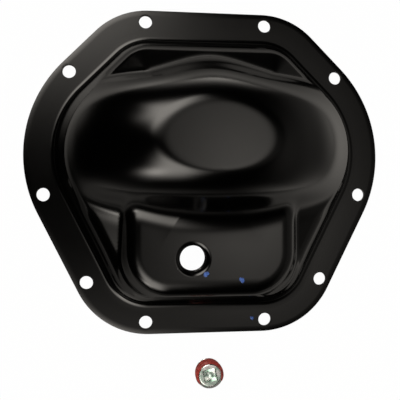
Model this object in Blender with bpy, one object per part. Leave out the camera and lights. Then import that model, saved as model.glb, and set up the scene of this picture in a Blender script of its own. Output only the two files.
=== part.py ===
"""Stamped steel differential cover, with the pipe plug of its fill hole beside it.

Metres, +Z up. The cover lies on its gasket face (z = 0) with the bulge up, X across and Y
up the cover as it is bolted on. Dimensions below are in millimetres and turned into metres
when a mesh is made.
"""
import math

import bmesh
import bpy
import numpy as np

for old in list(bpy.data.objects):
    bpy.data.objects.remove(old, do_unlink=True)

MM = 0.001

# Sheet and flange. The outline is a hexagon with rounded corners, the same left and right.
SHEET = 3.0                # thickness of the steel
EDGE_TOP = 149.1           # straight top edge, above the origin
EDGE_UPPER = 154.64        # upper slanted edges, distance from the origin
EDGE_LOWER = 122.23        # lower slanted edges, distance from the origin
EDGE_BOTTOM = 106.6        # straight bottom edge, below the origin
UPPER_ANGLE = 45.0         # direction each slanted edge faces, degrees from +X
LOWER_ANGLE = -26.65
CORNER_TOP = 59.0          # radii of the rounded corners
CORNER_SIDE = 102.25
CORNER_BOTTOM = 62.0

# Width of the flange, from each edge of the outline to the foot of the drawn wall
WIDTH_TOP = 24.6
WIDTH_UPPER = 24.6
WIDTH_LOWER = 25.6
WIDTH_BOTTOM = 24.5
FOOT_CORNER_TOP = 35.7
FOOT_CORNER_SIDE = 69.6
FOOT_CORNER_BOTTOM = 34.6

# Drawn wall and the ledge at its top
WALL_ANGLE = 68.8
WALL_ANGLE_LOW = 72.9      # where it runs straight up to the panel
WALL_TURN = (40.0, 70.0)   # one turns into the other between these, below the origin
FOOT_RADIUS = 4.8          # hollow fillet on to the flange
ROLL_RADIUS = 18.2         # rounding at the top of the wall
PANEL_ROLL = 14.0          # the same where the wall runs straight up to the panel
LEDGE_IN = 9.4             # how far in from the foot the ledge height is measured
LEDGE_HEIGHT = 25.6        # above the gasket face
LEDGE_RISE_TOP = 32.9      # slope of the ledge in the top pockets, degrees
LEDGE_RISE_LOW = 13.1      # and of the two three-cornered facets

# Bulge over the gears: an arc along X and an arc along Y, cut flat at its crown
BULGE_Y = 41.8
CROWN_FLAT = 78.0
CROWN_CUT = 6.4            # height of the arcs above the flat
CROWN_BLEND = 2.7
BULGE_R_X = 135.0
BULGE_R_UP = 57.9
BULGE_R_LOW = 48.9
DENT = 0.105               # share by which the upper side draws in above the top pockets
DENT_WIDTH = 35.0          # distance from the centre line over which it does so
BULGE_SIDE_END = 66.0      # slope at which each arc goes on as a straight side
BULGE_SIDE_UP = 62.5
BULGE_SIDE_LOW = 56.0
BLEND_UP = 10.6            # hollow at the foot of the bulge, towards the top pockets
BLEND_LOW = 20.0           # and towards the panel
BLEND_SPAN = 62.5          # height over which one turns into the other

# Raised panel with the fill hole
PANEL_TOP = 40.0
PANEL_HALF_X = 52.4
PANEL_BOTTOM = 61.0        # lower edge of the flat, below the origin
PANEL_HIDDEN = 20.0        # where it ends under the bulge
PANEL_CORNER = 22.0
PANEL_ROUND = 13.3
PANEL_WALL = 68.6
PANEL_CORNER_WALL = 55.0
PANEL_BLEND = 6.4          # hollow at the foot of the panel's walls

# Bolt holes, each placed from the edge it lies along
BOLT_HOLE_R = 5.18
BOLT_TOP_X, BOLT_TOP_MARGIN = 47.94, 8.93
BOLT_UPPER_ALONG, BOLT_UPPER_MARGIN = -5.43, 8.5
BOLT_SIDE_BEARING, BOLT_SIDE_MARGIN = -19.46, 9.61
BOLT_LOWER_ALONG, BOLT_LOWER_MARGIN = -15.99, 8.94
BOLT_BOTTOM_X, BOLT_BOTTOM_MARGIN = 47.94, 9.32

# Fill hole: a collar pressed inwards, bored for a 1/2-14 pipe thread
FILL_X, FILL_Y = -14.35, -43.5
FILL_R = 9.4
FILL_LIP = 3.5             # radius of the rolled-in lip
COLLAR_WALL = 3.6
COLLAR_DEPTH = 13.5        # below the panel's face
COLLAR_CHAMFER = 0.9

# Pipe plug, standing on its small end
PLUG_X, PLUG_Y = 2.0, -138.1
PLUG_R = 11.0
PLUG_TALL = 12.5
PLUG_TAPER = 16.0          # length per unit of change in diameter
PLUG_CHAMFER = 1.1
PLUG_EDGE = 2.4
SOCKET = 9.6
SOCKET_DEPTH = 8.5
SOCKET_TIP = 1.6

# How finely things are divided
LINE_STEPS = (5, 6, 7, 4)        # half top edge, upper slant, lower slant, half bottom edge
ARC_STEPS = (6, 13, 8)           # top, side and bottom corners
FOOT_RINGS = (1.0, 0.32)         # shares of the foot fillet's reach
WALL_RINGS = (0.05, 0.13, 0.23, 0.33, 0.43, 0.54, 0.66, 0.82, 1.0)   # shares of the rim band
RIM_BAND = 20.4                  # width of the band whose rings follow the foot
CORE_RINGS = 14
HOLE_STEPS = 28
TURN_STEPS = 40
PLUG_STEPS = 56
LIP_STEPS = 4
CUT_PAST = 4.0                   # how far a cutter runs past the steel
LIP_PAST = 0.07                  # the same where the lip meets the panel
SLOPE_STEP = 0.15                # run over which a slope is measured
NORMAL_STEP = 0.02
LEAST_TURN = 8.0                 # smallest bend between wall and body, degrees
EDGE_USED = 0.98                 # share of a straight edge that its two corners may take
SAME = 0.0005                    # heights closer than this count as the same


def facing(degrees):
    return math.cos(math.radians(degrees)), math.sin(math.radians(degrees))


def flange_edges():
    """Direction and distance of the four edges of the right half, top to bottom."""
    return (((0.0, 1.0), EDGE_TOP), (facing(UPPER_ANGLE), EDGE_UPPER),
            (facing(LOWER_ANGLE), EDGE_LOWER), ((0.0, -1.0), EDGE_BOTTOM))


def foot_edges():
    widths = (WIDTH_TOP, WIDTH_UPPER, WIDTH_LOWER, WIDTH_BOTTOM)
    return tuple((n, dist - w) for (n, dist), w in zip(flange_edges(), widths))


def corners_of(edges, radii):
    """Centre, radius and end directions of each rounded corner, top to bottom."""
    corners = []
    for (n1, d1), (n2, d2), r in zip(edges[:-1], edges[1:], radii):
        centre = np.linalg.solve(np.array([n1, n2]), np.array([d1 - r, d2 - r]))
        corners.append((centre, r, n1, n2))
    return corners


def fitted_radii(edges, radii):
    """The radii, each limited by the length of the edges beside it."""
    points = [np.array([0.0, edges[0][1]])]
    for (n1, d1), (n2, d2) in zip(edges[:-1], edges[1:]):
        points.append(np.linalg.solve(np.array([n1, n2]), np.array([d1, d2])))
    points.append(np.array([0.0, -edges[-1][1]]))
    reach = []
    for (n1, _), (n2, _) in zip(edges[:-1], edges[1:]):
        turn = math.acos(n1[0] * n2[0] + n1[1] * n2[1])
        reach.append(math.tan(turn / 2.0))
    need = [0.0] + [r * t for r, t in zip(radii, reach)] + [0.0]
    share = [1.0] * len(radii)
    for k in range(len(points) - 1):
        length = float(np.linalg.norm(points[k + 1] - points[k]))
        used = need[k] + need[k + 1]
        if used > EDGE_USED * length:
            for c in (k - 1, k):
                if 0 <= c < len(radii):
                    share[c] = min(share[c], EDGE_USED * length / used)
    return tuple(r * s for r, s in zip(radii, share))


def outline_points(edges, radii):
    """Closed outline, clockwise from the middle of the top, with its outward normals."""
    pts, nrm = [], []
    last = np.array([0.0, edges[0][1]])
    for k, (c, r, n1, n2) in enumerate(corners_of(edges, radii)):
        a1, a2 = math.atan2(n1[1], n1[0]), math.atan2(n2[1], n2[0])
        start = c + r * np.array(n1)
        for i in range(LINE_STEPS[k]):
            pts.append(last + (start - last) * i / LINE_STEPS[k])
            nrm.append(np.array(n1))
        for i in range(ARC_STEPS[k]):
            a = a1 + (a2 - a1) * i / ARC_STEPS[k]
            n = np.array([math.cos(a), math.sin(a)])
            pts.append(c + r * n)
            nrm.append(n)
        last = c + r * np.array(n2)
    end = np.array([0.0, -edges[-1][1]])
    for i in range(LINE_STEPS[3] + 1):
        pts.append(last + (end - last) * i / LINE_STEPS[3])
        nrm.append(np.array([0.0, -1.0]))
    flip = np.array([-1.0, 1.0])
    pts += [p * flip for p in pts[-2:0:-1]]
    nrm += [n * flip for n in nrm[-2:0:-1]]
    return np.array(pts), np.array(nrm)


FLANGE = flange_edges()
FLANGE_RADII = fitted_radii(FLANGE, (CORNER_TOP, CORNER_SIDE, CORNER_BOTTOM))
FOOT = foot_edges()
FOOT_RADII = fitted_radii(FOOT, (FOOT_CORNER_TOP, FOOT_CORNER_SIDE, FOOT_CORNER_BOTTOM))


def inside(edges, radii, x, y):
    """Distance in from a rounded outline."""
    ax = np.abs(x)
    d = np.full(ax.shape, np.inf)
    for n, dist in edges:
        d = np.minimum(d, dist - (n[0] * ax + n[1] * y))
    for c, r, n1, n2 in corners_of(edges, radii):
        px, py = ax - c[0], y - c[1]
        in_sector = (n1[0] * py - n1[1] * px <= 0.0) & (n2[0] * py - n2[1] * px >= 0.0)
        d = np.where(in_sector, r - np.hypot(px, py), d)
    return d


def round_min(a, ca, b, cb, r):
    """Lower of two heights, the edge between them rounded; ca and cb are cosines of slope."""
    k2 = ca * ca + cb * cb
    k1 = ca * (r - ca * a) + cb * (r - cb * b)
    k0 = (r - ca * a) ** 2 + (r - cb * b) ** 2 - r * r
    z = (-k1 + np.sqrt(np.maximum(k1 * k1 - k2 * k0, 0.0))) / k2
    both = (ca * (z - a) > -r) & (cb * (z - b) > -r)
    return np.where(both, z, np.minimum(a, b))


def soft_max(a, b, k):
    """Higher of two heights, eased by a cubic where they differ by less than k."""
    h = np.maximum(k - np.abs(a - b), 0.0) / k
    return np.maximum(a, b) + k * h ** 3 / 6.0


def soft_min(a, b, k):
    return -soft_max(-a, -b, k)


def arc_side(t, radius, limit):
    """Fall of an arc from its crown, going on straight past the slope limit, in degrees."""
    t = np.abs(t)
    limit = np.radians(limit)
    edge = radius * np.sin(limit)
    on_arc = radius - np.sqrt(np.maximum(radius ** 2 - np.minimum(t, edge) ** 2, 0.0))
    return on_arc + np.maximum(t - edge, 0.0) * np.tan(limit)


def bulge_height(x, y):
    along = arc_side(x, BULGE_R_X, BULGE_SIDE_END)
    dent = 1.0 + DENT * (1.0 - np.exp(-(x / DENT_WIDTH) ** 2))
    up = arc_side(np.maximum(y - BULGE_Y, 0.0) * dent, BULGE_R_UP, BULGE_SIDE_UP)
    low = arc_side(np.minimum(y - BULGE_Y, 0.0), BULGE_R_LOW, BULGE_SIDE_LOW)
    return soft_min(CROWN_FLAT + CROWN_CUT - along - up - low, CROWN_FLAT, CROWN_BLEND)


def panel_height(x, y):
    """Flat panel; its edge is rounded and then falls as a steep wall."""
    qx = np.abs(x) - (PANEL_HALF_X - PANEL_CORNER)
    qy = (PANEL_CORNER - PANEL_BOTTOM) - y
    out = np.hypot(np.maximum(qx, 0.0), np.maximum(qy, 0.0)) - PANEL_CORNER
    corner = (qx > 0.0) & (qy > 0.0)
    out = np.where(corner, out, np.maximum(qx, qy) - PANEL_CORNER)
    out = np.maximum(out, y - PANEL_HIDDEN)
    share = np.where(corner, np.sin(2.0 * np.arctan2(qy, qx)), 0.0)
    wall = PANEL_WALL + (PANEL_CORNER_WALL - PANEL_WALL) * share
    return PANEL_TOP - arc_side(np.maximum(out, 0.0), PANEL_ROUND, wall)


def body_height(x, y, d):
    """Everything that stands above the drawn wall: ledge, panel and bulge in one skin."""
    share = np.clip(y / BLEND_SPAN, 0.0, 1.0)
    rise = LEDGE_RISE_LOW + (LEDGE_RISE_TOP - LEDGE_RISE_LOW) * share
    ledge = LEDGE_HEIGHT + (d - LEDGE_IN) * np.tan(np.radians(rise))
    body = soft_max(ledge, panel_height(x, y), PANEL_BLEND)
    return soft_max(body, bulge_height(x, y), BLEND_LOW + (BLEND_UP - BLEND_LOW) * share)


def sheet_top(x, y):
    """Height of the outer face of the sheet."""
    d = inside(FOOT, FOOT_RADII, x, y)
    body = body_height(x, y, d)
    e = SLOPE_STEP
    gx = (body_height(x + e, y, inside(FOOT, FOOT_RADII, x + e, y)) - body) / e
    gy = (body_height(x, y + e, inside(FOOT, FOOT_RADII, x, y + e)) - body) / e
    slope = np.arctan(np.hypot(gx, gy))
    wall_angle = np.radians(np.interp(-y, WALL_TURN, (WALL_ANGLE, WALL_ANGLE_LOW)))
    turn = np.clip(wall_angle - slope, math.radians(LEAST_TURN), wall_angle)
    radius = np.interp(body, (LEDGE_HEIGHT, PANEL_TOP), (ROLL_RADIUS, PANEL_ROLL))
    roll = radius * (1.0 - np.cos(turn))
    wall = SHEET + d * np.tan(wall_angle)
    z = round_min(wall, np.cos(wall_angle), body, np.cos(slope), roll)
    foot = FOOT_RADIUS * (1.0 - np.cos(wall_angle))
    flat = np.full(z.shape, -SHEET)
    low = -round_min(-wall, np.cos(wall_angle), flat, 1.0, foot)
    return np.where(z < wall - SAME, z, np.maximum(low, SHEET))


def sheet_normal(x, y):
    e = NORMAL_STEP
    gx = (sheet_top(x + e, y) - sheet_top(x - e, y)) / (2 * e)
    gy = (sheet_top(x, y + e) - sheet_top(x, y - e)) / (2 * e)
    n = np.stack([-gx, -gy, np.ones(gx.shape)], axis=-1)
    return n / np.linalg.norm(n, axis=-1, keepdims=True)


def link(mesh, name):
    obj = bpy.data.objects.new(name, mesh)
    bpy.context.scene.collection.objects.link(obj)
    return obj


def mesh_object(name, verts, faces):
    mesh = bpy.data.meshes.new(name)
    mesh.from_pydata([tuple(v * MM) for v in np.asarray(verts, dtype=float)], [], faces)
    bm = bmesh.new()
    bm.from_mesh(mesh)
    bmesh.ops.recalc_face_normals(bm, faces=bm.faces)
    bm.to_mesh(mesh)
    bm.free()
    return link(mesh, name)


def turned(name, profile, steps, x, y):
    """Solid of revolution about the vertical line at x, y from (radius, height) points."""
    verts, faces = [], []
    rings = len(profile)
    for r, z in profile:
        for i in range(steps):
            a = 2.0 * math.pi * (i + 0.5) / steps
            verts.append((x + r * math.cos(a), y + r * math.sin(a), z))
    for k in range(rings - 1):
        for i in range(steps):
            j = (i + 1) % steps
            faces.append((k * steps + i, k * steps + j, (k + 1) * steps + j, (k + 1) * steps + i))
    faces.append(tuple(range(steps))[::-1])
    faces.append(tuple(range((rings - 1) * steps, rings * steps)))
    return mesh_object(name, verts, faces)


def combine(target, tool, operation):
    """Join or cut target with tool, then keep the tool out of the part."""
    mod = target.modifiers.new(tool.name, "BOOLEAN")
    mod.operation = operation
    mod.solver = "EXACT"
    mod.object = tool
    tool.hide_render = True
    tool.display_type = "WIRE"


def pressed_sheet():
    """The blank pressed to shape: outer face, inner face offset by the thickness, rim."""
    foot, normal = outline_points(FOOT, FOOT_RADII)
    edge, _ = outline_points(FLANGE, FLANGE_RADII)
    count = len(foot)
    reach = FOOT_RADIUS * math.tan(math.radians(WALL_ANGLE / 2.0))
    rings = [edge] + [foot + normal * reach * share for share in FOOT_RINGS]
    rings += [foot - normal * RIM_BAND * share for share in WALL_RINGS]
    centre = np.array([0.0, (FOOT[0][1] - FOOT[-1][1]) / 2.0])
    inner = rings[-1]
    for k in range(1, CORE_RINGS):
        rings.append(centre + (inner - centre) * (1.0 - k / CORE_RINGS))
    flat = np.concatenate(rings + [centre[None, :]])
    x, y = flat[:, 0], flat[:, 1]
    top = np.stack([x, y, sheet_top(x, y)], axis=1)
    under = top - SHEET * sheet_normal(x, y)
    under[: 2 * count] = top[: 2 * count] - np.array([0.0, 0.0, SHEET])
    verts = np.concatenate([top, under])
    n, total = len(rings), len(flat)
    faces = []
    for base, order in ((0, 1), (total, -1)):
        for k in range(n - 1):
            for i in range(count):
                j = (i + 1) % count
                a, b = base + k * count, base + (k + 1) * count
                faces.append((a + i, a + j, b + j, b + i)[::order])
        last, tip = base + (n - 1) * count, base + n * count
        for i in range(count):
            faces.append((last + i, last + (i + 1) % count, tip)[::order])
    for i in range(count):
        j = (i + 1) % count
        faces.append((j, i, total + i, total + j))
    return mesh_object("cover_pressing", verts, faces)


def bolt_centres():
    """Right-hand bolt hole centres, top to bottom, from the edges they lie along."""
    (_, top), (up, up_dist), (low, low_dist), (_, bottom) = FLANGE
    side_centre, side_r, _, _ = corners_of(FLANGE, FLANGE_RADII)[1]
    bearing = facing(BOLT_SIDE_BEARING)

    def beside(n, dist, along, margin):
        reach = dist - margin
        return n[0] * reach + n[1] * along, n[1] * reach - n[0] * along

    return (
        (BOLT_TOP_X, top - BOLT_TOP_MARGIN),
        beside(up, up_dist, -BOLT_UPPER_ALONG, BOLT_UPPER_MARGIN),
        (side_centre[0] + (side_r - BOLT_SIDE_MARGIN) * bearing[0],
         side_centre[1] + (side_r - BOLT_SIDE_MARGIN) * bearing[1]),
        beside(low, low_dist, -BOLT_LOWER_ALONG, BOLT_LOWER_MARGIN),
        (BOLT_BOTTOM_X, -bottom + BOLT_BOTTOM_MARGIN),
    )


def fill_plug():
    """Taper pipe plug with a square socket in its large end."""
    taper = PLUG_TALL / PLUG_TAPER / 2.0
    profile = (
        (PLUG_R - taper - PLUG_CHAMFER, 0.0),
        (PLUG_R - taper, PLUG_CHAMFER),
        (PLUG_R, PLUG_TALL - PLUG_EDGE),
        (PLUG_R - PLUG_EDGE, PLUG_TALL),
    )
    body = turned("fill_plug", profile, PLUG_STEPS, PLUG_X, PLUG_Y)
    h = SOCKET / 2.0
    low, high = PLUG_TALL - SOCKET_DEPTH, PLUG_TALL + CUT_PAST
    corners = ((-h, -h), (h, -h), (h, h), (-h, h))
    verts = [(PLUG_X + cx, PLUG_Y + cy, z) for z in (low, high) for cx, cy in corners]
    verts.append((PLUG_X, PLUG_Y, low - SOCKET_TIP))
    faces = [(4, 5, 6, 7)]
    for i in range(4):
        j = (i + 1) % 4
        faces += [(i, j, 4 + j, 4 + i), (j, i, 8)]
    combine(body, mesh_object("socket_cut", verts, faces), "DIFFERENCE")
    return body


cover = pressed_sheet()

collar_r = FILL_R + COLLAR_WALL
collar_low = PANEL_TOP - COLLAR_DEPTH
collar = turned("fill_collar", ((collar_r, collar_low), (collar_r, PANEL_TOP - SHEET / 2.0)),
                TURN_STEPS, FILL_X, FILL_Y)
combine(cover, collar, "UNION")

lip_r = FILL_R + FILL_LIP
wide = FILL_R + COLLAR_CHAMFER
bore_profile = [(wide, collar_low - CUT_PAST), (wide, collar_low),
                (FILL_R, collar_low + COLLAR_CHAMFER)]
for step in range(LIP_STEPS):
    a = math.radians(90.0 * step / LIP_STEPS)
    bore_profile.append((lip_r - FILL_LIP * math.cos(a),
                         PANEL_TOP - FILL_LIP + FILL_LIP * math.sin(a)))
bore_profile += [(lip_r, PANEL_TOP + LIP_PAST), (lip_r, PANEL_TOP + CUT_PAST)]
combine(cover, turned("fill_bore", bore_profile, TURN_STEPS, FILL_X, FILL_Y), "DIFFERENCE")

for number, (hx, hy) in enumerate(bolt_centres()):
    for side in (-1, 1):
        tool = turned(f"bolt_cut_{number}_{'l' if side < 0 else 'r'}",
                      ((BOLT_HOLE_R, -CUT_PAST), (BOLT_HOLE_R, SHEET + CUT_PAST)),
                      HOLE_STEPS, side * hx, hy)
        combine(cover, tool, "DIFFERENCE")

plug = fill_plug()
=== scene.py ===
"""Looks of a black-painted differential cover and the plug of its fill hole, on a pale floor."""
import math

import bpy
import numpy as np
from mathutils import Matrix


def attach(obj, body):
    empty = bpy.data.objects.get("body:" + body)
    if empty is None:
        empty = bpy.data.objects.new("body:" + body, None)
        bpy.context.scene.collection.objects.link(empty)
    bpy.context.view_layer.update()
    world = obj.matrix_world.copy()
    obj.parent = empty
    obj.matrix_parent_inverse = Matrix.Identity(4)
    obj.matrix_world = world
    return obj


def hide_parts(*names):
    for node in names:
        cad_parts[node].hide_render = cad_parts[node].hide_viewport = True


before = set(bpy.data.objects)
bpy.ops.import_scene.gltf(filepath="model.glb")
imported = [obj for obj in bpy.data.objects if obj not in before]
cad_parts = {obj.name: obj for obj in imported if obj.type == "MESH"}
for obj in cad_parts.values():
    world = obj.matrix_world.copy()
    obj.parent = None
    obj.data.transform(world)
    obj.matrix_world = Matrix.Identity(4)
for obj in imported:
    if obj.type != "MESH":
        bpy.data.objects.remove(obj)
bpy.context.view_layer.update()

# Camera. A 50 mm lens 443 mm above the floor, over the left half of the cover and turned
# nearly 7 degrees to the right, so the cover fills the square picture. Sizes are millimetres
# and angles degrees unless a comment says otherwise; MM turns a size into metres.
MM = 0.001
CAMERA_AT = (-56.57, -1.10, 443.03)
CAMERA_RIGHT = (0.993136, -0.000636, 0.116964)
CAMERA_UP = (0.000510, 0.999999, 0.001107)
CAMERA_BACK = (-0.116965, -0.001040, 0.993136)
camera_data = bpy.data.cameras.new("camera")
camera_data.sensor_width = 36.0
camera_data.lens = 49.968
camera_data.clip_start = 0.01
camera = bpy.data.objects.new("camera", camera_data)
bpy.context.scene.collection.objects.link(camera)
turn = Matrix((CAMERA_RIGHT, CAMERA_UP, CAMERA_BACK)).transposed().to_4x4()
camera.matrix_world = Matrix.Translation([v * MM for v in CAMERA_AT]) @ turn
bpy.context.scene.camera = camera
bpy.context.scene.view_settings.view_transform = "Standard"

# Cover, the pressed sheet. 3 mm steel drawn in one stroke: a flat flange with ten bolt holes,
# a steep wall, a sloping ledge, a raised panel with the fill hole, and a bulge over the gears
# whose crown is pressed flat. The skin is the CAD form in finer steps, with broken edges.
SHEET = 3.0                # thickness of the steel
EDGE_BREAK = 0.45          # rounding of the flange's outer edge
EDGE_INSET = 0.02          # by which that edge stays inside the solid's

# Edges of the right half, each by the way it faces and its distance from the origin
FLANGE_EDGES = (((0.0, 1.0), 149.1), ((0.707107, 0.707107), 154.64),
                ((0.893764, -0.448539), 122.23), ((0.0, -1.0), 106.6))
FLANGE_RADII = (59.0, 102.25, 62.0)         # rounded corners between them
FLANGE_WIDTHS = (24.6, 24.6, 25.6, 24.5)    # from each edge in to the foot of the wall
FOOT_EDGES = tuple((n, d - w) for (n, d), w in zip(FLANGE_EDGES, FLANGE_WIDTHS))
FOOT_RADII = (35.7, 69.6, 34.6)

# Drawn wall and the ledge at its top
WALL_ANGLE = 68.8
WALL_ANGLE_LOW = 72.9      # where it runs straight up to the panel
WALL_TURN = (40.0, 70.0)   # one turns into the other between these, below the origin
FOOT_FILLET = 4.8          # hollow fillet on to the flange
ROLL_RADIUS = 18.2         # rounding at the top of the wall
PANEL_ROLL = 14.0          # the same where the wall runs straight up to the panel
LEAST_TURN = 8.0           # smallest bend between wall and body
LEDGE_IN = 9.4             # how far in from the foot the ledge's height is measured
LEDGE_HEIGHT = 25.6
LEDGE_RISE_TOP = 32.9      # slope of the ledge in the top pockets
LEDGE_RISE_LOW = 13.1      # and of the two lower facets

# Bulge over the gears: an arc along X and an arc along Y, cut flat at its crown
BULGE_Y = 41.8
CROWN_FLAT = 78.0
CROWN_CUT = 6.4            # height of the arcs above the flat
CROWN_BLEND = 2.7
BULGE_R_X = 135.0
BULGE_R_UP = 57.9
BULGE_R_LOW = 48.9
DENT = 0.105               # share by which the upper side draws in above the top pockets
DENT_WIDTH = 35.0          # distance from the centre line over which it does so
BULGE_SIDE_END = 66.0      # slope at which each arc goes on as a straight side
BULGE_SIDE_UP = 62.5
BULGE_SIDE_LOW = 56.0
BLEND_UP = 10.6            # hollow at the foot of the bulge, towards the top pockets
BLEND_LOW = 20.0           # and towards the panel
BLEND_SPAN = 62.5          # one turns into the other from the origin up to here

# Raised panel
PANEL_TOP = 40.0
PANEL_HALF_X = 52.4
PANEL_BOTTOM = 61.0        # lower edge of the flat, below the origin
PANEL_HIDDEN = 20.0        # where it ends under the bulge
PANEL_CORNER = 22.0
PANEL_ROUND = 13.3         # rounding of its upper edge
PANEL_WALL = 68.6          # slope of its walls
PANEL_CORNER_WALL = 55.0   # and of its corners
PANEL_BLEND = 6.4          # hollow at the foot of its walls

# How finely the skin is divided; a run of rings is given as from, to and count
LINE_STEPS = (22, 24, 30, 18)         # half top edge, upper slant, lower slant, half bottom edge
ARC_STEPS = (24, 52, 34)              # top, side and bottom corners
FLAT_SHARES = (0.2, 0.5, 0.8, 1.0)    # rings on the flange, as shares of its free width
PAST_FILLET = 0.5                     # where they start, outside the foot's fillet
WALL_RUN = (2.0, 9)                   # rings from there to this far inside the foot, and count
ROLL_RUN = (2.9, 16.4, 18)            # rings over the rounding, in from the foot
LEDGE_RUN = (17.4, 20.4, 4)           # rings on the ledge's edge
CORE_RUN = (0.012, 1.0, 75)           # rings inside those, as shares of the way from the centre
RIM_TURNS = (30.0, 60.0, 90.0)        # rings round the broken edge
UNDER_EVERY = 2                       # the inner face takes every second ring of the outer
SLOPE_STEP = 0.15                     # run over which a slope is measured
NORMAL_STEP = 0.05
SAME = 0.0005                         # heights closer than this count as the same
CREASE = 35.0                         # an edge that turns by more is shaded sharp


def corners_of(edges, radii):
    """Rounded corners of the right half: each centre lies one radius inside its two edges."""
    corners = []
    for (n1, d1), (n2, d2), r in zip(edges[:-1], edges[1:], radii):
        centre = np.linalg.solve(np.array([n1, n2]), np.array([d1 - r, d2 - r]))
        corners.append((centre, r, n1, n2))
    return corners


def outline_points(edges, radii):
    """Closed outline with outward normals: straight runs and arcs, mirrored left to right."""
    points, normals = [], []
    last = np.array([0.0, edges[0][1]])
    for k, (c, r, n1, n2) in enumerate(corners_of(edges, radii)):
        start = c + r * np.array(n1)
        t = np.arange(LINE_STEPS[k])[:, None] / LINE_STEPS[k]
        points.append(last + (start - last) * t)
        normals.append(np.tile(n1, (len(t), 1)))
        a1 = math.atan2(n1[1], n1[0])
        a2 = math.atan2(n2[1], n2[0])
        a = a1 + (a2 - a1) * np.arange(ARC_STEPS[k]) / ARC_STEPS[k]
        n = np.stack([np.cos(a), np.sin(a)], axis=1)
        points.append(c + r * n)
        normals.append(n)
        last = c + r * np.array(n2)
    end = np.array([0.0, -edges[-1][1]])
    t = np.arange(LINE_STEPS[-1] + 1)[:, None] / LINE_STEPS[-1]
    points.append(last + (end - last) * t)
    normals.append(np.tile((0.0, -1.0), (len(t), 1)))
    half, half_n = np.concatenate(points), np.concatenate(normals)
    flip = np.array([-1.0, 1.0])
    return (np.concatenate([half, half[-2:0:-1] * flip]),
            np.concatenate([half_n, half_n[-2:0:-1] * flip]))


def inside_foot(x, y):
    """Distance in from the foot of the wall: to the nearest edge, or to a corner's arc."""
    ax = np.abs(x)
    d = np.full(ax.shape, np.inf)
    for n, dist in FOOT_EDGES:
        d = np.minimum(d, dist - (n[0] * ax + n[1] * y))
    for c, r, n1, n2 in corners_of(FOOT_EDGES, FOOT_RADII):
        px, py = ax - c[0], y - c[1]
        near = (n1[0] * py - n1[1] * px <= 0.0) & (n2[0] * py - n2[1] * px >= 0.0)
        d = np.where(near, r - np.hypot(px, py), d)
    return d


def round_min(a, ca, b, cb, r):
    """Lower of two heights, rounded where they meet: there the squares of r less the distance
    to each face add up to the square of r. A distance is the height left to a face times the
    cosine of its slope, ca or cb."""
    k2 = ca * ca + cb * cb
    k1 = ca * (r - ca * a) + cb * (r - cb * b)
    k0 = (r - ca * a) ** 2 + (r - cb * b) ** 2 - r * r
    z = (-k1 + np.sqrt(np.maximum(k1 * k1 - k2 * k0, 0.0))) / k2
    both = (ca * (z - a) > -r) & (cb * (z - b) > -r)
    return np.where(both, z, np.minimum(a, b))


def soft_max(a, b, k):
    """Higher of two heights, eased by a cubic where they differ by less than k."""
    h = np.maximum(k - np.abs(a - b), 0.0) / k
    return np.maximum(a, b) + k * h ** 3 / 6.0


def arc_side(t, radius, limit):
    """Fall of a circular arc from its crown, straight on past the slope limit."""
    t, limit = np.abs(t), np.radians(limit)
    edge = radius * np.sin(limit)
    on_arc = radius - np.sqrt(np.maximum(radius ** 2 - np.minimum(t, edge) ** 2, 0.0))
    return on_arc + np.maximum(t - edge, 0.0) * np.tan(limit)


def bulge_height(x, y):
    """Bulge: its crown less the fall of an arc along x and of another along y, the upper side
    drawn in away from the centre line, and the crown cut flat with a soft edge."""
    along = arc_side(x, BULGE_R_X, BULGE_SIDE_END)
    dent = 1.0 + DENT * (1.0 - np.exp(-(x / DENT_WIDTH) ** 2))
    up = arc_side(np.maximum(y - BULGE_Y, 0.0) * dent, BULGE_R_UP, BULGE_SIDE_UP)
    low = arc_side(np.minimum(y - BULGE_Y, 0.0), BULGE_R_LOW, BULGE_SIDE_LOW)
    return -soft_max(along + up + low - CROWN_FLAT - CROWN_CUT, -CROWN_FLAT, CROWN_BLEND)


def panel_height(x, y):
    """Flat panel less the fall of its rounded edge, by distance out from a rounded oblong; its
    walls lean back most in the middle of each corner."""
    qx = np.abs(x) - (PANEL_HALF_X - PANEL_CORNER)
    qy = (PANEL_CORNER - PANEL_BOTTOM) - y
    out = np.hypot(np.maximum(qx, 0.0), np.maximum(qy, 0.0)) - PANEL_CORNER
    corner = (qx > 0.0) & (qy > 0.0)
    out = np.where(corner, out, np.maximum(qx, qy) - PANEL_CORNER)
    out = np.maximum(out, y - PANEL_HIDDEN)
    share = np.where(corner, np.sin(2.0 * np.arctan2(qy, qx)), 0.0)
    wall = PANEL_WALL + (PANEL_CORNER_WALL - PANEL_WALL) * share
    return PANEL_TOP - arc_side(np.maximum(out, 0.0), PANEL_ROUND, wall)


def body_height(x, y):
    """Ledge, panel and bulge in one skin: the highest of them, with hollows between. The ledge
    rises with the distance in from the foot, more steeply towards the top."""
    share = np.clip(y / BLEND_SPAN, 0.0, 1.0)
    rise = LEDGE_RISE_LOW + (LEDGE_RISE_TOP - LEDGE_RISE_LOW) * share
    ledge = LEDGE_HEIGHT + (inside_foot(x, y) - LEDGE_IN) * np.tan(np.radians(rise))
    body = soft_max(ledge, panel_height(x, y), PANEL_BLEND)
    return soft_max(body, bulge_height(x, y), BLEND_LOW + (BLEND_UP - BLEND_LOW) * share)


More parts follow.
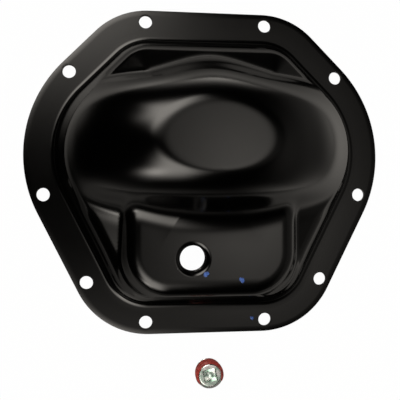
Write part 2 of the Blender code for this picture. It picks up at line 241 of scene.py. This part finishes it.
def sheet_top(x, y):
    """Outer face: the wall's slope, rounded into the body above it and, hollow, into the
    flange below. The rounding above gets the tighter the higher the body stands there."""
    body = body_height(x, y)
    gx = (body_height(x + SLOPE_STEP, y) - body) / SLOPE_STEP
    gy = (body_height(x, y + SLOPE_STEP) - body) / SLOPE_STEP
    slope = np.arctan(np.hypot(gx, gy))
    angle = np.radians(np.interp(-y, WALL_TURN, (WALL_ANGLE, WALL_ANGLE_LOW)))
    bend = np.clip(angle - slope, math.radians(LEAST_TURN), angle)
    roll = np.interp(body, (LEDGE_HEIGHT, PANEL_TOP), (ROLL_RADIUS, PANEL_ROLL))
    wall = SHEET + inside_foot(x, y) * np.tan(angle)
    z = round_min(wall, np.cos(angle), body, np.cos(slope), roll * (1.0 - np.cos(bend)))
    fillet = FOOT_FILLET * (1.0 - np.cos(angle))
    low = -round_min(-wall, np.cos(angle), np.full(z.shape, -SHEET), 1.0, fillet)
    return np.where(z < wall - SAME, z, np.maximum(low, SHEET))


def sheet_normal(x, y):
    """Upward normal of the outer face from height differences over a short step."""
    e = NORMAL_STEP
    gx = (sheet_top(x + e, y) - sheet_top(x - e, y)) / (2 * e)
    gy = (sheet_top(x, y + e) - sheet_top(x, y - e)) / (2 * e)
    n = np.stack([-gx, -gy, np.ones(gx.shape)], axis=-1)
    return n / np.linalg.norm(n, axis=-1, keepdims=True)


def ring_mesh(name, rings, first=None, last=None, joined=False, sharp=CREASE):
    """Closed solid from rings of equal count: quads between neighbours, fans to two poles,
    or with joined set the last ring runs back to the first, as on a washer."""
    rings = np.asarray(rings, dtype=float)
    n, count = rings.shape[:2]
    verts = rings.reshape(-1, 3)
    rows = np.arange(n if joined else n - 1)[:, None]
    i = np.arange(count)[None, :]
    j, nxt = (i + 1) % count, (rows + 1) % n
    quads = np.stack([rows * count + i, rows * count + j, nxt * count + j, nxt * count + i], -1)
    loops, sizes = [quads.reshape(-1)], [np.full(quads.shape[0] * count, 4)]
    for pole, row, order in ((first, 0, -1), (last, n - 1, 1)):
        if pole is not None:
            verts = np.concatenate([verts, np.asarray(pole, dtype=float)[None, :]])
            k = np.full(count, len(verts) - 1)
            fan = np.stack([row * count + i[0], row * count + j[0], k], -1)[:, ::order]
            loops.append(fan.reshape(-1))
            sizes.append(np.full(count, 3))
    loops, sizes = np.concatenate(loops), np.concatenate(sizes)
    mesh = bpy.data.meshes.new(name)
    mesh.vertices.add(len(verts))
    mesh.vertices.foreach_set("co", (verts * MM).ravel())
    mesh.loops.add(len(loops))
    mesh.loops.foreach_set("vertex_index", loops.astype(np.int32))
    mesh.polygons.add(len(sizes))
    starts = np.concatenate([[0], np.cumsum(sizes)[:-1]])
    mesh.polygons.foreach_set("loop_start", starts.astype(np.int32))
    mesh.update(calc_edges=True)
    mesh.validate()
    mesh.polygons.foreach_set("use_smooth", np.ones(len(mesh.polygons), dtype=bool))
    mesh.set_sharp_from_angle(angle=math.radians(sharp))
    piece = bpy.data.objects.new(name, mesh)
    bpy.context.scene.collection.objects.link(piece)
    return piece


def sheet_rings():
    """Rings from the crown out to the edge, round it, and back along the inner face, which
    lies one sheet thickness along the normal; and the centre they start from."""
    foot, normal = outline_points(FOOT_EDGES, FOOT_RADII)
    edge, edge_n = outline_points(FLANGE_EDGES, FLANGE_RADII)
    reach = FOOT_FILLET * math.tan(math.radians(WALL_ANGLE / 2.0)) + PAST_FILLET
    band = np.concatenate([np.linspace(reach, -WALL_RUN[0], WALL_RUN[1]),
                           -np.linspace(*ROLL_RUN), -np.linspace(*LEDGE_RUN)])
    centre = np.array([0.0, (FOOT_EDGES[0][1] - FOOT_EDGES[-1][1]) / 2.0])
    inner = foot + normal * band[-1]
    core = [centre + (inner - centre) * s for s in np.linspace(*CORE_RUN, endpoint=False)]
    walls = [foot + normal * b for b in band[::-1]]
    brim = edge - edge_n * (EDGE_BREAK + EDGE_INSET)
    out = foot + normal * reach
    flats = [out + (brim - out) * s for s in FLAT_SHARES]
    top = [np.column_stack([xy, sheet_top(xy[:, 0], xy[:, 1])]) for xy in core + walls + flats]
    rim = []
    for a in np.radians(RIM_TURNS):
        xy = brim + edge_n * EDGE_BREAK * np.sin(a)
        z = SHEET - EDGE_BREAK * (1.0 - np.cos(a))
        rim.append(np.column_stack([xy, np.full(len(xy), z)]))
    rim += [r * [1, 1, -1] + [0, 0, SHEET] for r in rim[::-1]]
    count = len(core + walls)
    under = []
    for k in [*range(0, count, UNDER_EVERY), count - 1]:
        under.append(top[k] - SHEET * sheet_normal(top[k][:, 0], top[k][:, 1]))
    under.append(top[-1] - np.array([0.0, 0.0, SHEET]))
    return top + rim + under[::-1], centre


rings, centre = sheet_rings()
cover = ring_mesh("cover_skin", rings, (*centre, CROWN_FLAT), (*centre, CROWN_FLAT - SHEET))

# Its holes: ten punched for 3/8 inch bolts, five each side, with a lightly broken edge that
# catches the light, and the opening in the panel that the fill hole's rolled lip stands in
BOLT_HOLE_R = 5.18
BOLT_BREAK = 0.35          # width of the broken edge
BOLT_HOLES = ((47.94, 140.17), (107.18, 99.50), (127.0, 3.58), (94.08, -65.12), (47.94, -97.28))
LIP_R = 13.5               # outer radius of the lip
FILL_X, FILL_Y = -13.9, -43.85
CUT_PAST = 4.0             # how far a bolt hole's cutter runs past the steel
FILL_CUT = (10.0, 5.0)     # the same for the panel's cutter, below and above its face
HOLE_STEPS = 64
FILL_STEPS = 160


def turned_rings(profile, steps, x, y):
    """Rings of a turned shape: each (radius, height) of the profile swept round x, y."""
    profile = np.asarray(profile, dtype=float)
    a = np.arange(steps) * 2.0 * math.pi / steps
    r, z = profile[:, :1], profile[:, 1:]
    return np.stack([x + r * np.cos(a), y + r * np.sin(a), z + 0.0 * a], axis=-1)


def turned(name, profile, steps, x, y):
    """A turned solid: the profile's rings, closed by a fan at either end."""
    return ring_mesh(name, turned_rings(profile, steps, x, y),
                     (x, y, profile[0][1]), (x, y, profile[-1][1]))


def machined(piece, cutters):
    """The piece with the cutters' holes in it, as one plain mesh."""
    for cutter in cutters:
        cut = piece.modifiers.new(cutter.name, "BOOLEAN")
        cut.operation = "DIFFERENCE"
        cut.solver = "EXACT"
        cut.object = cutter
    solid = bpy.data.meshes.new_from_object(
        piece.evaluated_get(bpy.context.evaluated_depsgraph_get()))
    piece.modifiers.clear()
    piece.data = solid
    solid.polygons.foreach_set("use_smooth", np.ones(len(solid.polygons), dtype=bool))
    solid.set_sharp_from_angle(angle=math.radians(CREASE))
    for cutter in cutters:
        bpy.data.objects.remove(cutter, do_unlink=True)


wide = BOLT_HOLE_R + BOLT_BREAK
bolt_profile = ((BOLT_HOLE_R, -CUT_PAST), (BOLT_HOLE_R, SHEET - BOLT_BREAK), (wide, SHEET),
                (wide + CUT_PAST, SHEET + CUT_PAST))
fill_profile = ((LIP_R, PANEL_TOP - FILL_CUT[0]), (LIP_R, PANEL_TOP + FILL_CUT[1]))
cutters = [turned("bolt_cutter", bolt_profile, HOLE_STEPS, side * x, y)
           for x, y in BOLT_HOLES for side in (-1, 1)]
cutters.append(turned("fill_cutter", fill_profile, FILL_STEPS, FILL_X, FILL_Y))
machined(cover, cutters)


# Its paint: a glossy enamel, nearly black, with faint orange peel and a gloss that is a little
# duller in patches
def node(tree, kind, **values):
    """A node of that kind: small-letter values are its settings, the others its inputs, with
    an underscore for a space."""
    made = tree.nodes.new(kind)
    for key, value in values.items():
        if key[0].islower():
            setattr(made, key, value)
        else:
            made.inputs[key.replace("_", " ")].default_value = value
    return made


def wire(tree, *pairs):
    """Links each pair of an output and an input."""
    for source, target in pairs:
        tree.links.new(source, target)


def new_material(name):
    """An empty material, its node tree and its shader."""
    material = bpy.data.materials.new(name)
    material.use_nodes = True
    tree = material.node_tree
    return material, tree, tree.nodes["Principled BSDF"]


def new_group(name, inputs, outputs):
    """An empty node group with named sockets, and the nodes at its two ends."""
    group = bpy.data.node_groups.new(name, "ShaderNodeTree")
    for way, sockets in (("INPUT", inputs), ("OUTPUT", outputs)):
        for label, kind in sockets.items():
            group.interface.new_socket(label, in_out=way, socket_type="NodeSocket" + kind)
    return group, node(group, "NodeGroupInput"), node(group, "NodeGroupOutput")


# Wear group: roughness that strays from Base by Spread in patches, and the height of a grain
surface_wear, given, result = new_group(
    "surface_wear", {"Scale": "Float", "Base": "Float", "Spread": "Float"},
    {"Rough": "Float", "Height": "Float"})
at = node(surface_wear, "ShaderNodeTexCoord")
broad = node(surface_wear, "ShaderNodeTexNoise", Detail=4.0, Roughness=0.6)
grain = node(surface_wear, "ShaderNodeTexNoise", Scale=900.0, Detail=2.0)
NOISE_MEAN = 0.5
shift = node(surface_wear, "ShaderNodeMath", operation="SUBTRACT")
shift.inputs[1].default_value = NOISE_MEAN
spread = node(surface_wear, "ShaderNodeMath", operation="MULTIPLY")
total = node(surface_wear, "ShaderNodeMath", operation="ADD", use_clamp=True)
wire(surface_wear,
     (at.outputs["Object"], broad.inputs["Vector"]),
     (at.outputs["Object"], grain.inputs["Vector"]),
     (given.outputs["Scale"], broad.inputs["Scale"]),
     (broad.outputs["Fac"], shift.inputs[0]),
     (shift.outputs[0], spread.inputs[0]),
     (given.outputs["Spread"], spread.inputs[1]),
     (spread.outputs[0], total.inputs[0]),
     (given.outputs["Base"], total.inputs[1]),
     (total.outputs[0], result.inputs["Rough"]),
     (grain.outputs["Fac"], result.inputs["Height"]))


def add_wear(tree, shader, scale, base, spread, depth):
    """Places the wear group: roughness from its patches, and a faint bump from its grain, whose
    depth is in metres."""
    wear = node(tree, "ShaderNodeGroup", node_tree=surface_wear,
                Scale=scale, Base=base, Spread=spread)
    bump = node(tree, "ShaderNodeBump", Strength=0.35, Distance=depth)
    wire(tree, (wear.outputs["Rough"], shader.inputs["Roughness"]),
         (wear.outputs["Height"], bump.inputs["Height"]),
         (bump.outputs["Normal"], shader.inputs["Normal"]))


paint, tree, shader = new_material("black_paint")
shader.inputs["Base Color"].default_value = (0.0003, 0.0003, 0.0003, 1.0)
shader.inputs["IOR"].default_value = 1.5
add_wear(tree, shader, scale=28.0, base=0.14, spread=0.06, depth=0.00002)
cover.data.materials.append(paint)
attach(cover, "root")
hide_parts("cover_pressing")

# Fill hole. The panel's steel is rolled inwards to a collar and tapped with a pipe thread of
# 14 turns to the inch; the paint runs over the lip and into the thread.
COLLAR_R = 13.0
COLLAR_DEPTH = 13.4        # below the panel's face
COLLAR_BREAK = 0.5         # chamfer at its lower edge
COLLAR_TOP = 0.3           # where it goes out to the lip, above the panel's inner face
FILL_R = 9.65              # over the thread's crests
THREAD_PITCH = 25.4 / 14.0
THREAD_DEPTH = 1.05
THREAD_TIP = 0.12          # flat at each tip and root, as a share of the pitch
THREAD_FADE = 1.2          # height over which the thread comes in below the lip
LIP_ROLL = 3.8             # radius of the rolled lip
LIP_INSET = 0.02           # gap between the lip and the panel round it
BORE_START = 0.15          # first ring of the bore, below the lip's roll
TURN_STEPS = 192
ROLL_STEPS = 13
BORE_RINGS = 90


def thread_wave(turns):
    """Cut depth from 0 to 1 over one turn: rising and falling flanks with flattened tips."""
    saw = np.abs((turns % 1.0) - 0.5) * 2.0
    return np.clip((saw - THREAD_TIP) / (1.0 - 2.0 * THREAD_TIP), 0.0, 1.0)


around = np.arange(TURN_STEPS) * 2.0 * math.pi / TURN_STEPS
lip_out, lip_low = LIP_R - LIP_INSET, PANEL_TOP - LIP_ROLL
collar_low, inner_face = PANEL_TOP - COLLAR_DEPTH, PANEL_TOP - SHEET
lip = [(lip_out - LIP_ROLL * math.sin(a), PANEL_TOP - LIP_ROLL * (1.0 - math.cos(a)))
       for a in np.radians(np.linspace(0.0, 90.0, ROLL_STEPS))]
bore_z = np.linspace(lip_low - BORE_START, collar_low, BORE_RINGS)[:, None]
fade = np.clip((lip_low - bore_z) / THREAD_FADE, 0.0, 1.0)
wave = thread_wave(bore_z / THREAD_PITCH - around / (2 * math.pi))
bore_r = FILL_R + THREAD_DEPTH * fade * wave
bore = np.stack([FILL_X + bore_r * np.cos(around), FILL_Y + bore_r * np.sin(around),
                 bore_z + 0.0 * around], axis=-1)
back = ((COLLAR_R - COLLAR_BREAK, collar_low), (COLLAR_R, collar_low + COLLAR_BREAK),
        (COLLAR_R, inner_face), (lip_out, inner_face + COLLAR_TOP))
rings = np.concatenate([turned_rings(lip, TURN_STEPS, FILL_X, FILL_Y), bore,
                        turned_rings(back, TURN_STEPS, FILL_X, FILL_Y)])
collar = ring_mesh("fill_collar", rings[::-1], joined=True)
collar.data.materials.append(paint)
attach(collar, "root")

# Fill plug. A 1/2 inch tapered steel pipe plug, standing on its small end: a threaded body, a
# chamfer that the thread runs out across, and a bright end face with a square socket.
PLUG_X, PLUG_Y = 2.0, -138.1
PLUG_R = 10.95             # over the thread's crests at the large end
PLUG_TALL = 12.5
PLUG_TAPER = 16.0          # length per unit of change in diameter
PLUG_CHAMFER = 2.6         # at the large end
FACE_R = PLUG_R - PLUG_CHAMFER
SMALL_END_R = 9.45         # where the small end's chamfer starts
SMALL_END_RINGS = (3.0, 6.5, 9.15)              # radii of the rings on the small end's flat
SIDE_RUN = (0.25, PLUG_TALL - 0.2, 120)         # heights of the rings over the thread
SOCKET_HALF = 4.8          # half the width of the square
SOCKET_CORNER = 1.33       # its half diagonal over that; sharp corners would have 1.41
SOCKET_DEPTH = 8.5
SOCKET_TURN = 12.0         # by which the square is turned
CONE_TIP = SOCKET_DEPTH + 1.6                   # end of the drill's cone, below the face
PLUG_STEPS = 216

# Rings of the end face and the socket: radius, depth below the face, share of the square
END_RINGS = ((FACE_R, 0.03, 0.0), (FACE_R - 0.15, 0.0, 0.0), (7.4, 0.0, 0.0),   # end face
             (0.0, 0.0, 1.09), (0.0, 0.45, 1.0),                    # the socket's broken edge
             *((0.0, down, 1.0) for down in np.linspace(1.5, SOCKET_DEPTH, 6)),
             (4.2, SOCKET_DEPTH + 0.2, 0.0), (2.2, SOCKET_DEPTH + 0.9, 0.0))    # drill's cone
plug_a = np.arange(PLUG_STEPS) * 2.0 * math.pi / PLUG_STEPS


def plug_ring(r, z, square=0.0):
    """Ring about the plug's axis; square morphs it from a circle of r to a square socket
    with slightly rounded corners."""
    a = plug_a - math.radians(SOCKET_TURN)
    side = SOCKET_HALF / np.maximum(np.abs(np.cos(a)), np.abs(np.sin(a)))
    side = np.minimum(side, SOCKET_HALF * SOCKET_CORNER)
    rr = r * (1.0 - square) + side * square
    return np.stack([PLUG_X + rr * np.cos(plug_a), PLUG_Y + rr * np.sin(plug_a), z + 0.0 * rr], -1)


def plug_cone(z):
    """Radius of the tapered side at height z: it grows by half of what the diameter does."""
    return PLUG_R - (PLUG_TALL - z) * 0.5 / PLUG_TAPER


def plug_crest(z):
    """Radius over the thread's crests: the taper, cut off by a 45 degree chamfer at each end."""
    top = FACE_R + (PLUG_TALL - z)
    return np.minimum(np.minimum(plug_cone(z), top), SMALL_END_R + z)


def plug_wave(z):
    """How deep the thread's groove is at height z all round, from 0 to 1."""
    return thread_wave(z / THREAD_PITCH - plug_a / (2 * math.pi))


rings = [plug_ring(r, 0.0) for r in SMALL_END_RINGS]
for z in np.linspace(*SIDE_RUN):
    groove = plug_cone(z) - THREAD_DEPTH * plug_wave(z)
    rings.append(plug_ring(np.minimum(groove, plug_crest(z)), z))
rings += [plug_ring(r, PLUG_TALL - down, square) for r, down, square in END_RINGS]
plug = ring_mesh("plug_body", rings, (PLUG_X, PLUG_Y, 0.0), (PLUG_X, PLUG_Y, PLUG_TALL - CONE_TIP))

# Two-tone group: one colour turns into another between two levels of a noise
two_tone, given, result = new_group(
    "two_tone",
    {"Scale": "Float", "Detail": "Float", "Roughness": "Float", "First Until": "Float",
     "Second From": "Float", "First": "Color", "Second": "Color"},
    {"Color": "Color"})
MIX_FIRST, MIX_SECOND, MIX_RESULT = 6, 7, 2    # the Mix node's colour sockets
at = node(two_tone, "ShaderNodeTexCoord")
noise = node(two_tone, "ShaderNodeTexNoise")
share = node(two_tone, "ShaderNodeMapRange")
mix = node(two_tone, "ShaderNodeMix", data_type="RGBA")
wire(two_tone,
     (at.outputs["Object"], noise.inputs["Vector"]),
     (given.outputs["Scale"], noise.inputs["Scale"]),
     (given.outputs["Detail"], noise.inputs["Detail"]),
     (given.outputs["Roughness"], noise.inputs["Roughness"]),
     (noise.outputs["Fac"], share.inputs["Value"]),
     (given.outputs["First Until"], share.inputs["From Min"]),
     (given.outputs["Second From"], share.inputs["From Max"]),
     (share.outputs["Result"], mix.inputs["Factor"]),
     (given.outputs["First"], mix.inputs[MIX_FIRST]),
     (given.outputs["Second"], mix.inputs[MIX_SECOND]),
     (mix.outputs[MIX_RESULT], result.inputs["Color"]))


def add_two_tone(tree, shader, **values):
    """Places the two-tone group as the shader's colour."""
    tone = node(tree, "ShaderNodeGroup", node_tree=two_tone, **values)
    wire(tree, (tone.outputs["Color"], shader.inputs["Base Color"]))


zinc, tree, shader = new_material("plug_zinc")
add_two_tone(tree, shader, Scale=210.0, Detail=3.0, Roughness=0.6,
             First_Until=0.36, Second_From=0.56,
             First=(0.50, 0.67, 0.58, 1.0), Second=(0.95, 0.94, 0.93, 1.0))
shader.inputs["Metallic"].default_value = 1.0
add_wear(tree, shader, scale=300.0, base=0.27, spread=0.3, depth=0.00004)
plug.data.materials.append(zinc)
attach(plug, "root")
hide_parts("fill_plug")

# Thread sealant. A red paste brushed round the plug's thread and over its chamfer, dried there;
# it fills the grooves, lumpy, and leaves the side towards the bottom of the picture bare.
PASTE_RUN = (2.2, PLUG_TALL - 0.12, 64)                   # heights of its rings
LUMPS = ((3, 0.6, 0.5), (7, 2.0, 0.3), (13, 0.0, 0.2))    # waves round it: count, shift, share
BARE_AT = 276.0            # middle of the bare side, round from +X
BARE_HALF = 0.88           # its half width in radians
BARE_FROM = 0.55           # bareness at which the last of the paste ends
BARE_SPAN = 0.3            # rise of bareness before that over which it thins out
BARE_WAVE = 0.4            # how much thicker and thinner the lumps make it there
UPPER_EDGE = 0.15          # mean upper edge, below the plug's face
UPPER_WAVE = 0.22
UPPER_DROP = 4.0           # how far it drops on the bare side
UPPER_THIN = 0.5           # height over which the paste thins out there
LOWER_EDGE = 2.4           # mean lower edge, above the floor
LOWER_WAVE = 0.5
LOWER_THIN = 0.8
PASTE_OVER = 0.28          # thickness over the crests
PASTE_SINK = 0.3           # how far it sinks in over the grooves
SINK_TOP = 2.0             # height below the face over which that sets in
RIPPLE = (9, 2.2, 0.05)    # ripples in its skin: count round, turn per mm of height, depth
PASTE_UNDER = 1.35         # depth of its base below the crests
PASTE_BACK = 0.3           # thickness of the ring left inside the steel where it is bare
EDGE_FORM = 0.5            # power that rounds the paste's thinning edges
WET_CREASE = 60.0          # what was wet is shaded smooth over sharper edges than steel is
lumps = sum(share * np.sin(count * plug_a + shift) for count, shift, share in LUMPS)

# Bareness round the plug: 1 in the middle of the bare side, 0 elsewhere
off = np.mod(plug_a - math.radians(BARE_AT) + math.pi, 2.0 * math.pi) - math.pi
bare = np.exp(-(off / BARE_HALF) ** 4)


def paste_share(z):
    """How much of the full thickness there is at height z all round, from 0 to 1: less within
    a short way of the wavy upper and lower edges, and less towards the bare side."""
    upper = PLUG_TALL - UPPER_EDGE + UPPER_WAVE * lumps - UPPER_DROP * bare
    lower = LOWER_EDGE + LOWER_WAVE * lumps
    share = np.clip((upper - z) / UPPER_THIN, 0.0, 1.0)
    share = share * np.clip((z - lower) / LOWER_THIN, 0.0, 1.0)
    return share * np.clip((BARE_FROM - bare) / BARE_SPAN + BARE_WAVE * lumps, 0.0, 1.0)


outer, inner = [], []
for z in np.linspace(*PASTE_RUN):
    sink = PASTE_SINK * plug_wave(z) * np.clip((PLUG_TALL - z) / SINK_TOP, 0.0, 1.0)
    ripple = RIPPLE[2] * np.sin(RIPPLE[0] * plug_a + RIPPLE[1] * z)
    skin = plug_crest(z) + PASTE_OVER - sink + ripple
    base = plug_crest(z) - PASTE_UNDER
    outer.append(plug_ring(base + (skin - base) * paste_share(z) ** EDGE_FORM, z))
    inner.append(plug_ring(base - PASTE_BACK, z))
sealant = ring_mesh("thread_sealant", outer + inner[::-1], joined=True, sharp=WET_CREASE)
red, tree, shader = new_material("red_sealant")
add_two_tone(tree, shader, Scale=420.0, Detail=5.0, Roughness=0.65,
             First_Until=0.3, Second_From=0.72,
             First=(0.17, 0.010, 0.008, 1.0), Second=(0.46, 0.060, 0.045, 1.0))
add_wear(tree, shader, scale=350.0, base=0.45, spread=0.3, depth=0.00006)
sealant.data.materials.append(red)
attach(sealant, "root")

# Paint marks. Three small dabs of blue marking paint, put on by hand: two on the panel below
# the fill hole and one on the flange beside the lowest bolt hole on the right.
DAB_STEPS = 48
DAB_WAVES = ((2, 1, 0.13), (3, 2, 0.09), (5, 3, 0.05))    # outline: count, times seed, share
DAB_RINGS = ((1.0, -0.05), (1.0, 0.03), (0.93, 0.09), (0.75, 0.13), (0.4, 0.16))    # share, height
DAB_LOW, DAB_HIGH = -0.05, 0.17                           # its underside and its top
blue, tree, shader = new_material("blue_marking_paint")
add_two_tone(tree, shader, Scale=700.0, Detail=3.0, Roughness=0.5,
             First_Until=0.3, Second_From=0.75,
             First=(0.012, 0.050, 0.26, 1.0), Second=(0.085, 0.19, 0.54, 1.0))
add_wear(tree, shader, scale=400.0, base=0.45, spread=0.2, depth=0.00005)


def paint_dab(name, x, y, z, size, seed, stretch=1.0, lean=0.0):
    """A drop that has spread: a wavy outline of radius size, stretched along one way and turned
    by lean in radians, and a low dome over it in rings of (share of the outline, height)."""
    a = np.arange(DAB_STEPS) * 2.0 * math.pi / DAB_STEPS
    wavy = 1.0 + sum(part * np.sin(count * a + times * seed) for count, times, part in DAB_WAVES)
    c, s = math.cos(lean), math.sin(lean)
    dome = []
    for share, up in DAB_RINGS:
        u = size * share * wavy * np.cos(a) * stretch
        v = size * share * wavy * np.sin(a)
        dome.append(np.stack([x + c * u - s * v, y + s * u + c * v, z + up + 0.0 * u], -1))
    piece = ring_mesh(name, dome, (x, y, z + DAB_LOW), (x, y, z + DAB_HIGH), sharp=WET_CREASE)
    piece.data.materials.append(blue)
    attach(piece, "root")


paint_dab("dab_fill", -4.5, -55.0, PANEL_TOP, size=1.9, seed=0.4)
paint_dab("dab_panel", 22.0, -59.7, PANEL_TOP, size=1.8, seed=1.9, stretch=1.1, lean=-0.8)
paint_dab("dab_flange", 37.4, -95.9, SHEET, size=1.35, seed=3.1)

# Floor. A sheet of pale card under the part, seen white by the camera and keeping a trace of the
# part's shadow. Glossy rays see it nearly dark, with five soft pools of painted glow on it: an
# emission that stands in for light on the floor and shows only in reflections.
FLOOR_X, FLOOR_Y, FLOOR_R = 0.0, 20.0, 350.0
FLOOR_TOP, FLOOR_UNDER = -0.1, -0.6
FLOOR_STEPS = 96
SEEN_WHITE = 0.985         # share of plain white in what the camera sees of it
PAINTED_GLOW_DIM = 0.012          # light between the pools
LIGHT_TINT = (1.0, 0.945, 0.87, 1.0)

# Painted glow pools: place along x and y, width along x and y, strength
PAINTED_GLOW_POOLS = (
    (-205.0, 165.0, 95.0, 130.0, 0.87),     # behind, on the left
    (-103.0, 291.0, 62.0, 68.0, 1.20),      # farther behind, on the left
    (40.0, 240.0, 135.0, 65.0, 0.52),       # behind, in the middle
    (233.0, 62.0, 100.0, 205.0, 0.94),      # along the right side
    (-165.0, -140.0, 600.0, 60.0, 0.30)     # along the front, all across
)
floor = turned("floor", ((FLOOR_R, FLOOR_TOP), (FLOOR_R, FLOOR_UNDER)),
               FLOOR_STEPS, FLOOR_X, FLOOR_Y)


def number(tree, operation, a, b=None):
    """A Math node on one or two numbers or sockets."""
    made = node(tree, "ShaderNodeMath", operation=operation)
    for k, value in enumerate((a,) if b is None else (a, b)):
        if isinstance(value, bpy.types.NodeSocket):
            tree.links.new(value, made.inputs[k])
        else:
            made.inputs[k].default_value = value
    return made.outputs[0]


def pool(tree, x, y, cx, cy, wx, wy, strength, power=2.0, lean=0.0):
    """A soft patch of light, lamp light in the world and painted glow on the floor: its strength
    times e to the minus (distance along x over its width, to that power, plus the same along y).
    Lean slants it, shifting x with y."""
    dx, dy = number(tree, "SUBTRACT", x, cx), number(tree, "SUBTRACT", y, cy)
    if lean:
        dx = number(tree, "SUBTRACT", dx, number(tree, "MULTIPLY", dy, lean))
    ux = number(tree, "ABSOLUTE", number(tree, "DIVIDE", dx, wx))
    uy = number(tree, "ABSOLUTE", number(tree, "DIVIDE", dy, wy))
    far = number(tree, "ADD", number(tree, "POWER", ux, power), number(tree, "POWER", uy, power))
    bell = number(tree, "EXPONENT", number(tree, "MULTIPLY", far, -1.0))
    return number(tree, "MULTIPLY", bell, strength)


card, tree = new_material("pale_card_painted_glow")[:2]
tree.nodes.clear()
at = node(tree, "ShaderNodeTexCoord")
split = node(tree, "ShaderNodeSeparateXYZ")
wire(tree, (at.outputs["Object"], split.inputs[0]))
# Strength of the painted glow: a dim level everywhere plus each pool
painted_glow_strength = PAINTED_GLOW_DIM
for cx, cy, wx, wy, strength in PAINTED_GLOW_POOLS:
    painted_glow_strength = number(tree, "ADD", painted_glow_strength, pool(tree, split.outputs["X"], split.outputs["Y"],
                                            cx * MM, cy * MM, wx * MM, wy * MM, strength))
ray = node(tree, "ShaderNodeLightPath")
matt = node(tree, "ShaderNodeBsdfDiffuse", Color=(0.8, 0.8, 0.8, 1.0))
white = node(tree, "ShaderNodeEmission", Color=(1.0, 1.0, 1.0, 1.0), Strength=1.0)
# Painted glow: an emission that glossy rays see in place of the card, so the cover shows painted
# reflections of pools of light on the floor
painted_glow = node(tree, "ShaderNodeEmission", Color=LIGHT_TINT)
seen = node(tree, "ShaderNodeMixShader")
mirrored = node(tree, "ShaderNodeMixShader")
out = node(tree, "ShaderNodeOutputMaterial")
whiteness = number(tree, "MULTIPLY", ray.outputs["Is Camera Ray"], SEEN_WHITE)
wire(tree, (painted_glow_strength, painted_glow.inputs["Strength"]),
     (whiteness, seen.inputs["Fac"]),
     (matt.outputs[0], seen.inputs[1]),
     (white.outputs[0], seen.inputs[2]),
     (ray.outputs["Is Glossy Ray"], mirrored.inputs["Fac"]),
     (seen.outputs[0], mirrored.inputs[1]),
     (painted_glow.outputs[0], mirrored.inputs[2]),
     (mirrored.outputs[0], out.inputs["Surface"]))
floor.data.materials.append(card)

# Light. A dark studio with soft patches of light round the part, of which the camera sees only
# white. A patch is placed by a direction's x and y over one plus its z: 0 is straight above,
# 0.41 half way up, 1 the horizon, and more is what shows below it past the floor's edge.
ROOM_DIM = 0.0002          # light between the patches
LEAST_LIFT = 0.5           # least value of one plus z, for what lies far below

# Patches: place along x and y, width along x and y, strength, then power and lean of the bell
SKY_PATCHES = (
    (-0.18, 0.37, 0.17, 0.23, 5.0, 4.5, -0.15),     # half way up, left and behind: a softbox
    (-0.17, -0.40, 0.15, 0.23, 4.5, 3.6, 0.20),     # half way up, left and in front: another
    (-0.37, 0.36, 0.07, 0.10, 1.4),                 # beside the one behind
    (-0.33, -0.52, 0.08, 0.07, 4.3),                # below the one in front
    (0.10, 0.01, 0.07, 0.10, 1.5),                  # nearly straight above
    (0.27, -0.07, 0.16, 0.19, 0.14),                # faint, high up on the right
    (0.53, -0.13, 0.12, 0.50, 0.13),                # faint strip, lower on the right
    (0.75, 0.21, 0.17, 0.85, 0.17),                 # faint strip above the right horizon
    (1.24, 0.55, 0.28, 0.83, 0.80),                 # below the horizon, right
    (0.20, 1.24, 0.39, 0.17, 2.7),                  # below the horizon, behind
    (-1.25, 0.94, 0.19, 0.36, 4.7),                 # below it, left and behind
    (-1.33, -1.23, 0.46, 0.30, 10.0),               # below it, left and in front
    (-1.30, -1.18, 1.06, 0.14, 0.80),               # strip across the last
    (0.70, -1.02, 0.26, 0.17, 0.52),                # below the horizon, right and in front
    (1.02, -1.50, 0.26, 0.66, 3.0)                  # farther below, right and in front
)
world = bpy.data.worlds.new("studio")
bpy.context.scene.world = world
world.use_nodes = True
tree = world.node_tree
tree.nodes.clear()
at = node(tree, "ShaderNodeTexCoord")
split = node(tree, "ShaderNodeSeparateXYZ")
wire(tree, (at.outputs["Generated"], split.inputs[0]))
lift = number(tree, "MAXIMUM", number(tree, "ADD", split.outputs["Z"], 1.0), LEAST_LIFT)
flat_x = number(tree, "DIVIDE", split.outputs["X"], lift)
flat_y = number(tree, "DIVIDE", split.outputs["Y"], lift)
light = ROOM_DIM
for patch in SKY_PATCHES:
    light = number(tree, "ADD", light, pool(tree, flat_x, flat_y, *patch))
sky = node(tree, "ShaderNodeBackground", Color=LIGHT_TINT)
plain = node(tree, "ShaderNodeBackground", Color=(1.0, 1.0, 1.0, 1.0), Strength=1.0)
ray = node(tree, "ShaderNodeLightPath")
mix = node(tree, "ShaderNodeMixShader")
out = node(tree, "ShaderNodeOutputWorld")
wire(tree, (light, sky.inputs["Strength"]),
     (ray.outputs["Is Camera Ray"], mix.inputs["Fac"]),
     (sky.outputs[0], mix.inputs[1]),
     (plain.outputs[0], mix.inputs[2]),
     (mix.outputs[0], out.inputs["Surface"]))
